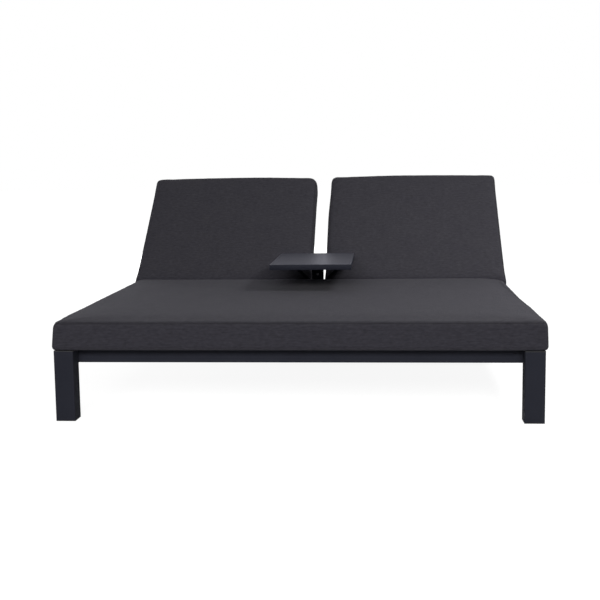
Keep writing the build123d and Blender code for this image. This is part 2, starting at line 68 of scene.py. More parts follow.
camera_yaw = radians(4.436)
camera_pitch = radians(7.356)
camera_roll = radians(-0.734)
focal_pixels = 1069.9
frame_pixels = 600
sensor_width = 36

# The backs' hinge and slope at rest
joints = {joint["name"]: joint for joint in frame["joints"]}
hinge = Vector(joints["left_recline"]["pos_m"])
recline = radians(-joints["left_recline"]["range_deg"][0])
up_slope = Vector((0, cos(recline), sin(recline)))
out_of_slope = Vector((0, -sin(recline), cos(recline)))

# Where the lounger's own pieces are, and the sign of x on each side
seat_low, seat_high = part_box("seat_cushion")
left_cushion_low, left_cushion_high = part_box("left_back_cushion")
tray_low, tray_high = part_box("tray_top")
bracket_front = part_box("tray_bracket")[0].y
seat_along = Vector((0, 1, 0))
seat_out = Vector((0, 0, 1))
sides = {"left": -1, "right": 1}

# Sizes of the cushions. A back's cushion stands out of the slope through its hinge.
cushion_thickness = 0.096
cushion_crown = 0.008
side_bulge = 0.004
back_cushion_out = 0.0243
back_length = 0.727
back_spread = 0.012
side_tuck = 0.003
top_tuck = 0.003
seat_rounds = {"left": 0.018, "right": 0.018, "edge": 0.012, "foot": 0.003}
back_rounds = {
    "left": {"left": 0.024, "right": 0.036, "edge": 0.026, "foot": 0.006},
    "right": {"left": 0.022, "right": 0.012, "edge": 0.026, "foot": 0.006},
}
corner_segments = 6
edge_segments = 4
foot_segments = 3
back_half_width = (left_cushion_high.x - left_cushion_low.x + back_spread) / 2 - side_bulge
back_centre = -(left_cushion_high.x + left_cushion_low.x - back_spread) / 2

# Filling of the cushions, and how close two of them press together
seat_voxel = 0.0125
back_voxel = 0.010
cloth_quality = 4
swell_pressure = 4
swell_steps = 20
swell_cap = 0.022
swell_share = 0.35
contact_gap = 0.0006
refine_levels = 1

# Form of the seat cushion's cloth: its crisp edges, drawn corners, dented side and sagging corner
foot_flare = 0.003
crisp_reach = 0.018
crisp_top = 0.095
top_crispness = 0.7
foot_crispness = 0.8
corner_draws = {"left": 0.007, "right": 0.001}
corner_run = 0.2
side_dent = 0.004
dent_place = -0.38
dent_run = 0.25
sag_width = 0.12
sag_run = (-0.5, 0.1)
corner_sag = 0.008
post_gap = 0.0035
post_room = 0.060
post_room_fade = 0.03

# Form of the backs' cushions: the shifts of their edges beside the gap, and their full tops
gap_shifts = {"left": (0.0026, 0.0026), "right": (-0.0045, 0.0045)}
gap_lean_start = 0.6
top_fullness = {"left": 0.013, "right": 0.0165}
top_bow = 0.012

# Puckers that run in from the seams, and broad hollows: depths, fade, counts to a metre and seeds
pucker_depth = 0.0013
pucker_fade = 0.05
puckers_inward = 7
puckers_along = 40
hollow_depth = 0.0011
hollows_each_way = 4
end_pucker_seed = 3
hollow_seed = 6
seat_seed = 1
back_seeds = {"left": 3, "right": 5}

# Seams on the cushions, by their level above the cushion's foot
seat_seams = {"top_seam": 0.091, "foot_seam": 0.011}
back_seams = {"top_seam": 0.0855, "foot_seam": 0.011}
seam_radius = 0.0011
seam_step = 0.008
seam_reach = 0.05
seam_wander = 0.0008
seam_waves = 14
seam_marks = 3

# Sizes of the tray
tray_skin = 0.003
tray_rim = 0.008
tray_rim_height = 0.0012
tray_bevel = 0.0012
tray_bevel_segments = 3
tray_bevel_angle = radians(35)
tray_sharp_angle = radians(40)

# Smallest lengths that count, and the shares of a normal past which a face counts as level
same_place = 1e-6
least_reach = 1e-9
level_share = 0.5
level_cloth_share = 0.6

# Stretches of the finishes' streaky noises, with their detail and roughness
yarn_streaks = ((0.07, 0.9, 1), 2.0, 0.5)
weft_streaks = ((24, 230, 1), 3.0, 0.6)
mottle_streaks = ((60, 120, 1), 3.0, 0.5)
brush_streaks = ((900, 60, 900), 2.0, 0.5)

# Scales of the finishes' even noises, with their detail and roughness
gloss_noise = (9.0, 4.0, 0.5)
rubbing_noise = (35.0, 3.0, 0.5)
dust_noise = (14.0, 5.0, 0.65)
pucker_noise = (75.0, 2.0, 0.5)
floor_noise = (1.5, 3.0, 0.5)
grain_detail = 2.0
grain_roughness = 0.6

# Plain colours
black = (0, 0, 0, 1)
white = (1, 1, 1, 1)
dust_colour = (0.30, 0.29, 0.27, 1)

# Melange weave of the covers, with its roughness from dark yarn to pale
fabric_dark = (0.0105, 0.0100, 0.0130, 1)
fabric_pale = (0.042, 0.0402, 0.0490, 1)
fabric_roughness = (0.92, 0.80)
fabric_shine = 0.14
fabric_sheen = 0.02
fabric_sheen_roughness = 0.45
fabric_dust = 0.04
fabric_bump = 0.5
fabric_depth = 0.0004
yarn_pitch = 0.0009
middle_shade = 0.5
crossing_contrast = 5.0
mottle_share = 0.5
yarn_share = 0.35
shade_contrast = 2.0
# Painted shade in the gaps between the yarns, darkening the colour towards the dark yarn
painted_gap_shade = 0.35
# Painted shade of the crease along the top seam: how far it reaches, and how far it darkens the cloth
# towards black
crease_shade_reach = 0.005
painted_crease_shade = 0.8
pucker_reach = 0.03
pucker_height = 5.0

# Coats, plastic and rubber: roughness from the glossiest patch to the dullest
coats = {
    "frame_coat": {
        "colour": (0.0130, 0.0137, 0.0188, 1),
        "grain": 0.0011,
        "grain_depth": 0.00009,
        "roughness": (0.52, 0.64),
        "shine": 0.03,
        "edge_radius": 0.0012,
        "dust": 0.03,
        "wear": 0.5,
    },
    "tray_coat": {
        "colour": (0.0065, 0.0072, 0.0115, 1),
        "grain": 0.0009,
        "grain_depth": 0.00003,
        "roughness": (0.40, 0.48),
        "shine": 0.22,
        "edge_radius": 0.0008,
        "dust": 0.02,
        "wear": 0.3,
    },
    "rack_metal": {
        "colour": (0.018, 0.019, 0.024, 1),
        "grain": 0.0010,
        "grain_depth": 0.00008,
        "roughness": (0.50, 0.62),
        "shine": 0.25,
        "edge_radius": 0.0005,
        "dust": 0.06,
        "wear": 0.9,
    },
    "black_plastic": {
        "colour": (0.012, 0.012, 0.013, 1),
        "grain": 0.0006,
        "grain_depth": 0.00005,
        "roughness": (0.45, 0.60),
        "shine": 0.4,
        "edge_radius": 0.0006,
        "dust": 0.05,
        "wear": 0.2,
    },
    "rubber_pad": {
        "colour": (0.010, 0.010, 0.010, 1),
        "grain": 0.0005,
        "grain_depth": 0.00004,
        "roughness": (0.72, 0.86),
        "shine": 0.3,
        "edge_radius": 0.0006,
        "dust": 0.10,
        "wear": 0.1,
    },
}
coat_bump = 0.6
patch_paleness = 0.25
paler_gain = 1.9
paler_lift = 0.01
edge_samples = 4
edge_gain = 3.0

# Blackened steel of the fasteners
steel_dark = (0.05, 0.05, 0.052, 1)
steel_pale = (0.09, 0.09, 0.092, 1)
steel_roughness = (0.24, 0.42)
steel_edge_radius = 0.0004
steel_dust = 0.1
steel_bump = 0.3
steel_depth = 0.00005

# Floor and surround, at strengths where 1 is white
floor_reach = 30
floor_dark = (0.80, 0.80, 0.80, 1)
floor_pale = (0.84, 0.84, 0.84, 1)
near_white = 1.2
far_white = 1.37
floor_fade = 6
floor_glow_share = 0.75
floor_gloss_share = 0.1
gloss_tint = (0.97, 0.97, 1.08, 1)
surround_light = 0.03

# Watts of a lamp a metre away that show a white face as white
full_light = pi ** 2

# Lamps: where each is from the lounger's middle, its size, its share of full light, and if gloss shows it
lamp_target = Vector((0, 0, 0.3))
lamps = {
    "key_lamp": {
        "direction": (0.95, -0.37, 1.0),
        "distance": 2.2,
        "width": 0.5,
        "height": 0.5,
        "level": 0.6,
        "mirrored": True,
    },
    "front_lamp": {
        "direction": (0, -1, 0.36),
        "distance": 8.0,
        "width": 5.0,
        "height": 1.6,
        "level": 0.94,
        "mirrored": False,
    },
    "rear_lamp": {
        "direction": (-0.5, 1, 0.1),
        "distance": 6.0,
        "width": 4.0,
        "height": 1.0,
        "level": 1.3,
        "mirrored": False,
    },
}

# Where the seat cushion and the backs' cushions press together, halfway between their faces
pressed_height = cushion_thickness + cushion_crown / 2
slope_run = (seat_low.z + pressed_height - hinge.z) - (back_cushion_out + pressed_height) * cos(recline)
contact = hinge + up_slope * (slope_run / sin(recline)) + out_of_slope * (back_cushion_out + pressed_height)
contact.x = 0
into_foam = (seat_along - up_slope).normalized()
contact_normal = Vector((0, -into_foam.z, into_foam.y))


# Meshes

def link_piece(mesh, name):
    """Puts a finished mesh into the scene as an object at the origin."""
    piece = bpy.data.objects.new(name, mesh)
    bpy.context.scene.collection.objects.link(piece)
    return piece


def piece_from(bm, name):
    """Turns a bmesh into a piece."""
    mesh = bpy.data.meshes.new(name)
    bmesh.ops.recalc_face_normals(bm, faces=bm.faces[:])
    bm.to_mesh(mesh)
    bm.free()
    return link_piece(mesh, name)


def apply_modifiers(piece):
    """Replaces a piece's mesh by what its modifiers make of it."""
    graph = bpy.context.evaluated_depsgraph_get()
    graph.update()
    made = bpy.data.meshes.new_from_object(piece.evaluated_get(graph))
    piece.modifiers.clear()
    piece.data = made


def points_of(mesh):
    """A mesh's points as an array."""
    points = np.empty(len(mesh.vertices) * 3)
    mesh.vertices.foreach_get("co", points)
    return points.reshape(-1, 3)


def set_points(mesh, points):
    """Moves a mesh's points."""
    mesh.vertices.foreach_set("co", points.ravel())
    mesh.update()


def normals_of(mesh):
    """A mesh's point normals as an array."""
    normals = np.empty(len(mesh.vertices) * 3)
    mesh.vertex_normals.foreach_get("vector", normals)
    return normals.reshape(-1, 3)


def smooth_noise(x, y, seed):
    """Smooth noise from about -1 to 1 for arrays of places, the same on each run."""
    return np.array([noise.noise(Vector((a, b, seed))) for a, b in zip(x, y)])


def smooth_step(value, low, high):
    """A smooth rise from 0 at low to 1 at high."""
    share = np.clip((value - low) / (high - low), 0, 1)
    return share * share * (3 - 2 * share)


# Shader nodes

def add_node(tree, kind, **settings):
    """Adds a shader node and sets its own values."""
    node = tree.nodes.new(kind)
    for name, value in settings.items():
        setattr(node, name, value)
    return node


def feed(tree, socket, value):
    """Gives a socket a plain value or the output of another node."""
    if isinstance(value, bpy.types.NodeSocket):
        tree.links.new(value, socket)
    else:
        socket.default_value = value


def maths(tree, operation, first, second=0.0, clamp=False):
    """One sum of a shader."""
    node = add_node(tree, "ShaderNodeMath", operation=operation, use_clamp=clamp)
    feed(tree, node.inputs[0], first)
    feed(tree, node.inputs[1], second)
    return node.outputs[0]


def mixed(tree, factor, first, second):
    """A value between two values."""
    node = add_node(tree, "ShaderNodeMix", data_type="FLOAT")
    feed(tree, node.inputs["Factor"], factor)
    feed(tree, node.inputs["A"], first)
    feed(tree, node.inputs["B"], second)
    return node.outputs["Result"]


def mixed_colour(tree, factor, first, second):
    """A colour between two colours."""
    node = add_node(tree, "ShaderNodeMix", data_type="RGBA")
    feed(tree, node.inputs["Factor"], factor)
    feed(tree, node.inputs[6], first)
    feed(tree, node.inputs[7], second)
    return node.outputs[2]


def nearness(tree, distance, reach):
    """A value that falls from 1 at no distance to 0 at the reach."""
    return maths(tree, "SUBTRACT", 1.0, maths(tree, "DIVIDE", distance, reach), clamp=True)


def parts_of(tree, vector):
    """The three parts of a vector."""
    node = add_node(tree, "ShaderNodeSeparateXYZ")
    feed(tree, node.inputs[0], vector)
    return node.outputs


def cloud(tree, vector, scale, detail, roughness):
    """Noise from 0 to 1."""
    node = add_node(tree, "ShaderNodeTexNoise")
    feed(tree, node.inputs["Vector"], vector)
    feed(tree, node.inputs["Scale"], scale)
    feed(tree, node.inputs["Detail"], detail)
    feed(tree, node.inputs["Roughness"], roughness)
    return node.outputs["Fac"]


def streaks(tree, vector, stretch, detail, roughness):
    """Noise from 0 to 1, stretched along its axes."""
    node = add_node(tree, "ShaderNodeVectorMath", operation="MULTIPLY")
    feed(tree, node.inputs[0], vector)
    feed(tree, node.inputs[1], stretch)
    return cloud(tree, node.outputs[0], 1.0, detail, roughness)


def bumped(tree, shader, height, strength, depth):
    """Gives a shader the fine relief of a height, and returns its bump node."""
    bump = add_node(tree, "ShaderNodeBump")
    feed(tree, bump.inputs["Strength"], strength)
    feed(tree, bump.inputs["Distance"], depth)
    feed(tree, bump.inputs["Height"], height)
    feed(tree, shader.inputs["Normal"], bump.outputs["Normal"])
    return bump


def shader_group(name, inputs, outputs):
    """An empty shader group with its sockets, each a name and a kind."""
    group = bpy.data.node_groups.new(name, "ShaderNodeTree")
    for direction, sockets in {"INPUT": inputs, "OUTPUT": outputs}.items():
        for socket_name, kind in sockets.items():
            group.interface.new_socket(socket_name, in_out=direction, socket_type=f"NodeSocket{kind}")
    given = group.nodes.new("NodeGroupInput")
    made = group.nodes.new("NodeGroupOutput")
    return group, given.outputs, made.inputs


def use_group(tree, group, **values):
    """Places a shader group in a material."""
    node = add_node(tree, "ShaderNodeGroup", node_tree=group)
    for name, value in values.items():
        feed(tree, node.inputs[name], value)
    return node.outputs


# Effects that the finishes share

def make_woven_yarn():
    """A plain weave of melange yarn, with the slubs and streaks that lie along its weft."""
    group, given, made = shader_group(
        "woven_yarn",
        {"Weave": "Vector", "Pitch": "Float"},
        {"Shade": "Float", "Height": "Float"},
    )
    counted = add_node(group, "ShaderNodeVectorMath", operation="SCALE")
    feed(group, counted.inputs[0], given["Weave"])
    feed(group, counted.inputs["Scale"], maths(group, "DIVIDE", 1.0, given["Pitch"]))
    across, along = parts_of(group, counted.outputs[0])[:2]
    warp = maths(group, "SINE", maths(group, "MULTIPLY", across, pi))
    weft = maths(group, "SINE", maths(group, "MULTIPLY", along, pi))
    crossing = maths(group, "MULTIPLY", maths(group, "MULTIPLY", warp, weft), crossing_contrast)
    weft_on_top = maths(group, "ADD", crossing, middle_shade, clamp=True)
    height = mixed(group, weft_on_top, maths(group, "ABSOLUTE", warp), maths(group, "ABSOLUTE", weft))
    yarn = streaks(group, counted.outputs[0], *yarn_streaks)
    weft_shade = streaks(group, given["Weave"], *weft_streaks)
    mottles = streaks(group, given["Weave"], *mottle_streaks)
    shade = mixed(group, yarn_share, mixed(group, mottle_share, weft_shade, mottles), yarn)
    contrast = maths(group, "MULTIPLY", maths(group, "SUBTRACT", shade, middle_shade), shade_contrast)
    feed(group, made["Shade"], maths(group, "ADD", contrast, middle_shade, clamp=True))
    feed(group, made["Height"], height)
    return group


def make_coat_grain():
    """The fine orange-peel grain of powder coat, and the broad unevenness of its gloss."""
    group, given, made = shader_group(
        "coat_grain",
        {"Place": "Vector", "Grain": "Float"},
        {"Height": "Float", "Patches": "Float"},
    )
    grains = maths(group, "DIVIDE", 1.0, given["Grain"])
    feed(group, made["Height"], cloud(group, given["Place"], grains, grain_detail, grain_roughness))
    feed(group, made["Patches"], cloud(group, given["Place"], *gloss_noise))
    return group


def make_soft_edge():
    """The small rounding of an edge, and a mask of where hands and cloths have rubbed it."""
    group, given, made = shader_group(
        "soft_edge",
        {"Place": "Vector", "Radius": "Float"},
        {"Normal": "Vector", "Worn": "Float"},
    )
    rounding = add_node(group, "ShaderNodeBevel", samples=edge_samples)
    feed(group, rounding.inputs["Radius"], given["Radius"])
    surface = add_node(group, "ShaderNodeNewGeometry")
    alike = add_node(group, "ShaderNodeVectorMath", operation="DOT_PRODUCT")
    feed(group, alike.inputs[0], rounding.outputs["Normal"])
    feed(group, alike.inputs[1], surface.outputs["Normal"])
    turned = maths(group, "SUBTRACT", 1.0, alike.outputs["Value"])
    edge = maths(group, "MULTIPLY", turned, edge_gain, clamp=True)
    rubbed = cloud(group, given["Place"], *rubbing_noise)
    feed(group, made["Normal"], rounding.outputs["Normal"])
    feed(group, made["Worn"], maths(group, "MULTIPLY", edge, rubbed))
    return group


def make_settled_dust():
    """A mask of the thin dust that lies on what faces up."""
    group, given, made = shader_group(
        "settled_dust",
        {"Place": "Vector", "Amount": "Float"},
        {"Dust": "Float"},
    )
    surface = add_node(group, "ShaderNodeNewGeometry")
    upward = maths(group, "MAXIMUM", parts_of(group, surface.outputs["Normal"])[2], 0.0)
    lying = maths(group, "MULTIPLY", upward, cloud(group, given["Place"], *dust_noise))
    feed(group, made["Dust"], maths(group, "MULTIPLY", lying, given["Amount"]))
    return group


woven_yarn = make_woven_yarn()
coat_grain = make_coat_grain()
soft_edge = make_soft_edge()
settled_dust = make_settled_dust()


# Finishes

def new_material(name):
    """A material with its node tree, its shader and the place on the piece."""
    finish = bpy.data.materials.new(name)
    finish.use_nodes = True
    tree = finish.node_tree
    place = add_node(tree, "ShaderNodeTexCoord").outputs["Object"]
    return finish, tree, tree.nodes["Principled BSDF"], place


def make_coat(name, colour, grain, grain_depth, roughness, shine, edge_radius, dust, wear):
    """Powder coat, moulded plastic or rubber: one colour, its grain, its soft edges and its dust."""
    finish, tree, shader, place = new_material(name)
    texture = use_group(tree, coat_grain, Place=place, Grain=grain)
    edge = use_group(tree, soft_edge, Place=place, Radius=edge_radius)
    settled = use_group(tree, settled_dust, Place=place, Amount=dust)
    paler = tuple(min(1, channel * paler_gain + paler_lift) for channel in colour[:3]) + (1,)
    patches = maths(tree, "MULTIPLY", texture["Patches"], patch_paleness)
    varied = mixed_colour(tree, patches, colour, paler)
    rubbed = mixed_colour(tree, maths(tree, "MULTIPLY", edge["Worn"], wear), varied, paler)
    feed(tree, shader.inputs["Base Color"], mixed_colour(tree, settled["Dust"], rubbed, dust_colour))
    feed(tree, shader.inputs["Specular IOR Level"], shine)
    rough = mixed(tree, texture["Patches"], *roughness)
    feed(tree, shader.inputs["Roughness"], maths(tree, "ADD", rough, settled["Dust"], clamp=True))
    bump = bumped(tree, shader, texture["Height"], coat_bump, grain_depth)
    feed(tree, bump.inputs["Normal"], edge["Normal"])
    return finish


def make_steel(name):
    """Blackened steel with a faint brushing."""
    finish, tree, shader, place = new_material(name)
    brushing = streaks(tree, place, *brush_streaks)
    edge = use_group(tree, soft_edge, Place=place, Radius=steel_edge_radius)
    settled = use_group(tree, settled_dust, Place=place, Amount=steel_dust)
    steel = mixed_colour(tree, brushing, steel_dark, steel_pale)
    feed(tree, shader.inputs["Base Color"], mixed_colour(tree, settled["Dust"], steel, dust_colour))
    feed(tree, shader.inputs["Roughness"], mixed(tree, brushing, *steel_roughness))
    feed(tree, shader.inputs["Metallic"], 1)
    bump = bumped(tree, shader, brushing, steel_bump, steel_depth)
    feed(tree, bump.inputs["Normal"], edge["Normal"])
    return finish


def make_fabric(name, seamed):
    """Charcoal melange weave. Where it is seamed, it puckers towards its top seam, and painted shade
    darkens the crease along that seam.
    """
    finish, tree, shader, place = new_material(name)
    on_cloth = add_node(tree, "ShaderNodeUVMap", uv_map="weave").outputs["UV"] if seamed else place
    weave = use_group(tree, woven_yarn, Weave=on_cloth, Pitch=yarn_pitch)
    colour = mixed_colour(tree, weave["Shade"], fabric_dark, fabric_pale)
    # Painted shade: the gaps between the yarns darken towards the dark yarn
    gap_shade = maths(tree, "MULTIPLY", maths(tree, "SUBTRACT", 1.0, weave["Height"]), painted_gap_shade)
    colour = mixed_colour(tree, gap_shade, colour, fabric_dark)
    height = weave["Height"]
    if seamed:
        # Painted shade: the cloth darkens towards black in the crease along the top seam
        distance = add_node(tree, "ShaderNodeAttribute", attribute_name="seam_distance").outputs["Fac"]
        crease_shade = maths(tree, "MULTIPLY", nearness(tree, distance, crease_shade_reach), painted_crease_shade)
        colour = mixed_colour(tree, crease_shade, colour, black)
        puckers = maths(tree, "MULTIPLY", cloud(tree, place, *pucker_noise), pucker_height)
        puckered = maths(tree, "MULTIPLY", nearness(tree, distance, pucker_reach), puckers)
        height = maths(tree, "ADD", height, puckered)
    settled = use_group(tree, settled_dust, Place=place, Amount=fabric_dust)
    feed(tree, shader.inputs["Base Color"], mixed_colour(tree, settled["Dust"], colour, dust_colour))
    feed(tree, shader.inputs["Roughness"], mixed(tree, weave["Shade"], *fabric_roughness))
    feed(tree, shader.inputs["Specular IOR Level"], fabric_shine)
    feed(tree, shader.inputs["Sheen Weight"], fabric_sheen)
    feed(tree, shader.inputs["Sheen Roughness"], fabric_sheen_roughness)
    bumped(tree, shader, height, fabric_bump, fabric_depth)
    return finish


materials = {name: make_coat(name, **coat) for name, coat in coats.items()}
materials["steel_fastener"] = make_steel("steel_fastener")
materials["cushion_fabric"] = make_fabric("cushion_fabric", seamed=True)
materials["seam_cloth"] = make_fabric("seam_cloth", seamed=False)


# Cushions

def open_ends(cushion):
    """How far along a cushion the contact plane lies, at the cushion's foot and at its top."""
    ends = []
    for level in (0, cushion_thickness - top_tuck):
        reach = contact - cushion.foot - cushion.out * level
        ends.append(reach.dot(contact_normal) / cushion.along.dot(contact_normal))
    return ends


def rounded(bm, edges, radius, segments):
    """Rounds edges of a mesh."""
    bmesh.ops.bevel(
        bm,
        geom=edges,
        offset=radius,
        segments=segments,
        affect="EDGES",
        profile=0.5,
        material=-1,
    )


def stands_at_corner(edge, sign):
    """Whether an edge stands upright at a cushion's sewn end, on one side."""
    start, stop = (corner.co for corner in edge.verts)
    return start.z != stop.z and start.y == stop.y and start.x * sign > 0


def lies_at(edge, level):
    """Whether an edge lies at a level above a cushion's foot."""
    return all(abs(corner.co.z - level) < same_place for corner in edge.verts)


def padded_box(cushion, near, far):
    """A box with rounded edges and an even mesh. Near and far are the y of its ends, at foot and top."""
    bm = bmesh.new()
    bmesh.ops.create_cube(bm, size=2)
    top = cushion_thickness - top_tuck
    for corner in bm.verts:
        end = near if corner.co.y < 0 else far
        on_top = corner.co.z > 0
        across = corner.co.x * (cushion.half_width - side_tuck)
        corner.co = Vector((across, end[on_top], on_top * top))
    for side, sign in sides.items():
        sewn = [edge for edge in bm.edges if stands_at_corner(edge, sign)]
        rounded(bm, sewn, cushion.rounds[side], corner_segments)
    upper = [edge for edge in bm.edges if lies_at(edge, top)]
    rounded(bm, upper, cushion.rounds["edge"], edge_segments)
    lower = [edge for edge in bm.edges if lies_at(edge, 0)]
    rounded(bm, lower, cushion.rounds["foot"], foot_segments)
    piece = piece_from(bm, cushion.name)
    even = piece.modifiers.new("even", "REMESH")
    even.mode = "VOXEL"
    even.voxel_size = cushion.voxel * 1
    apply_modifiers(piece)
    return piece


def swell(piece):
    """Swells a cushion as its filling does, and gives its new points."""
    start = points_of(piece.data)
    cloth = piece.modifiers.new("swell", "CLOTH")
    cloth.settings.quality = cloth_quality
    cloth.settings.use_pressure = True
    cloth.settings.uniform_pressure_force = swell_pressure
    cloth.settings.effector_weights.gravity = 0
    cloth.point_cache.frame_start = 1
    cloth.point_cache.frame_end = swell_steps
    for step in range(1, swell_steps + 1):
        bpy.context.scene.frame_set(step)
    apply_modifiers(piece)
    bpy.context.scene.frame_set(1)
    moved = points_of(piece.data) - start
    reach = np.linalg.norm(moved, axis=1, keepdims=True)
    return start + moved * np.minimum(1, swell_cap / np.maximum(reach, least_reach)) * swell_share


def fit_between(points, axis, low, high):
    """Stretches points along one axis to lie between two places."""
    values = points[:, axis]
    points[:, axis] = low + (values - values.min()) / (values.max() - values.min()) * (high - low)


def filled_cover(cushion):
    """A cushion's cover from its box: swollen, held behind the contact plane, settled and refined."""
    at_foot, at_top = open_ends(cushion)
    shut = [cushion.sewn_end + cushion.inward * side_tuck] * 2
    pressed = [end - cushion.inward * contact_gap for end in (at_foot, at_top)]
    piece = padded_box(cushion, *sorted((shut, pressed)))
    points = swell(piece)
    fit_between(points, 0, -cushion.half_width - side_bulge, cushion.half_width + side_bulge)
    fit_between(points, 1, *sorted((cushion.sewn_end, at_foot)))
    points[:, 2] *= (cushion_thickness + cushion_crown) / points[:, 2].max()
    limit = at_foot + (at_top - at_foot) * points[:, 2] / (cushion_thickness - top_tuck)
    limit = limit - cushion.inward * contact_gap
    nearer = np.minimum if cushion.inward > 0 else np.maximum
    points[:, 1] = nearer(points[:, 1], limit)
    points[:, 2] = np.maximum(points[:, 2], contact_gap)
    cushion.settle(points)
    set_points(piece.data, points)
    finer = piece.modifiers.new("finer", "SUBSURF")
    finer.levels = refine_levels
    finer.render_levels = refine_levels
    apply_modifiers(piece)
    return piece


def wrinkle(cushion, mesh):
    """Unevenness of the filling, and the short puckers that run in from the seams."""
    points = points_of(mesh)
    normals = normals_of(mesh)
    across, along = points[:, 0], points[:, 1]
    upper = np.clip(normals[:, 2], 0, 1)
    from_side = np.exp(-(cushion.half_width - np.abs(across)) / pucker_fade)
    from_end = np.exp(-np.abs(along - cushion.sewn_end) / pucker_fade)
    puckers = from_side * smooth_noise(across * puckers_inward, along * puckers_along, cushion.seed)
    end_seed = cushion.seed + end_pucker_seed
    puckers += from_end * smooth_noise(across * puckers_along, along * puckers_inward, end_seed)
    hollows = smooth_noise(across * hollows_each_way, along * hollows_each_way, cushion.seed + hollow_seed)
    points += normals * (upper * (pucker_depth * puckers + hollow_depth * hollows))[:, None]
    set_points(mesh, points)


def sewn_path(cushion, open_end, level):
    """Points and outward directions round three sides of a cushion, at one level above its foot."""
    rounds = cushion.rounds
    end = cushion.sewn_end
    edge = cushion.half_width
    left = Vector((rounds["left"] - edge, end + cushion.inward * rounds["left"], level))
    right = Vector((edge - rounds["right"], end + cushion.inward * rounds["right"], level))
    path = []

    def lay(start, stop, from_turn, to_turn, radius):
        length = max((stop - start).length, abs(to_turn - from_turn) * radius)
        steps = max(2, round(length / seam_step))
        for step in range(steps):
            turn = from_turn + (to_turn - from_turn) * step / steps
            outward = Vector((-cos(turn), -cushion.inward * sin(turn), 0))
            path.append((start.lerp(stop, step / steps) + outward * radius, outward))

    lay(Vector((-edge, open_end, level)), Vector((-edge, left.y, level)), 0, 0, 0)
    lay(left, left, 0, pi / 2, rounds["left"])
    lay(Vector((left.x, end, level)), Vector((right.x, end, level)), pi / 2, pi / 2, 0)
    lay(right, right, pi / 2, pi, rounds["right"])
    lay(Vector((edge, right.y, level)), Vector((edge, open_end, level)), pi, pi, 0)
    return path


def lay_seam(cushion, tree, level):
    """The points of a seam, laid on the cushion's surface with a slight wander."""
    at_foot, at_top = open_ends(cushion)
    open_end = at_foot + (at_top - at_foot) * level / cushion_thickness - cushion.inward * seam_step
    laid = []
    for place, outward in sewn_path(cushion, open_end, level):
        wave = noise.noise(Vector((place.x * seam_waves, place.y * seam_waves, cushion.seed)))
        start = place + outward * seam_reach + Vector((0, 0, seam_wander * wave))
        hit = tree.ray_cast(start, -outward)[0]
        if hit is not None:
            laid.append(hit)
    return laid


def seam_cord(points, name):
    """A thin sewn seam that follows points on a cushion."""
    curve = bpy.data.curves.new(name, "CURVE")
    curve.dimensions = "3D"
    curve.bevel_depth = seam_radius
    curve.bevel_resolution = 1
    curve.use_fill_caps = True
    spline = curve.splines.new("POLY")
    spline.points.add(len(points) - 1)
    for spot, place in zip(spline.points, points):
        spot.co = (*place, 1)
    path = bpy.data.objects.new(name + "_path", curve)
    bpy.context.scene.collection.objects.link(path)
    graph = bpy.context.evaluated_depsgraph_get()
    mesh = bpy.data.meshes.new_from_object(path.evaluated_get(graph))
    bpy.data.objects.remove(path)
    mesh.shade_smooth()
    return link_piece(mesh, name)


def mark_seam(mesh, seam):
    """Stores how far each point of the cloth is from a seam."""
    marks = [step / seam_marks for step in range(seam_marks)]
    places = [start.lerp(stop, mark) for start, stop in zip(seam, seam[1:]) for mark in marks]
    tree = KDTree(len(places))
    for index, place in enumerate(places):
        tree.insert(place, index)
    tree.balance()
    distances = [tree.find(vertex.co)[2] for vertex in mesh.vertices]
    attribute = mesh.attributes.new("seam_distance", "FLOAT", "POINT")
    attribute.data.foreach_set("value", distances)


def map_weave(mesh, offset):
    """Gives the cloth its own lengths in metres, one flat layout for each sewn panel."""
    layer = mesh.uv_layers.new(name="weave")
    loops = np.empty(len(mesh.loops), np.int32)
    mesh.loops.foreach_get("vertex_index", loops)
    sizes = np.empty(len(mesh.polygons), np.int32)
    mesh.polygons.foreach_get("loop_total", sizes)
    normals = np.empty(len(mesh.polygons) * 3)
    mesh.polygons.foreach_get("normal", normals)
    normals = np.repeat(normals.reshape(-1, 3), sizes, axis=0)
    corners = points_of(mesh)[loops]
    flat = np.abs(normals[:, 2]) > level_cloth_share
    on_end = np.abs(normals[:, 1]) > np.abs(normals[:, 0])
    across = np.where(flat | on_end, corners[:, 0], corners[:, 1])
    along = np.where(flat, corners[:, 1], corners[:, 2])
    layout = np.stack([across + offset, along + offset], axis=1)
    layer.data.foreach_set("uv", layout.astype(np.float32).ravel())


def hold(piece, body):
    """Holds cloth on the frame's body. Cloth on a back has its place baked into its mesh and is held on no
    body.
    """
    if body == "frame":
        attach(piece, body)
    else:
        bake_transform(piece)


def make_cushion(cushion):
    """A cushion's cover and its seams, put in their place."""
    piece = filled_cover(cushion)
    mesh = piece.data
    mesh.name = cushion.name
    mesh.shade_smooth()
    wrinkle(cushion, mesh)
    corners = [corner.co for corner in mesh.vertices]
    tree = BVHTree.FromPolygons(corners, [face.vertices for face in mesh.polygons])
    seams = {name: lay_seam(cushion, tree, level) for name, level in cushion.seam_levels.items()}
    mark_seam(mesh, seams["top_seam"])
    map_weave(mesh, cushion.seed)
    place = Matrix((Vector((1, 0, 0)), cushion.along, cushion.out)).transposed().to_4x4()
    place.translation = cushion.foot
    mesh.transform(place)
    mesh.materials.append(materials["cushion_fabric"])
    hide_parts(cushion.cad_node)
    hold(piece, cushion.body)
    for name, points in seams.items():
        seam = seam_cord(points, f"{cushion.name}_{name}")
        seam.data.transform(place)
        seam.data.materials.append(materials["seam_cloth"])
        hold(seam, cushion.body)


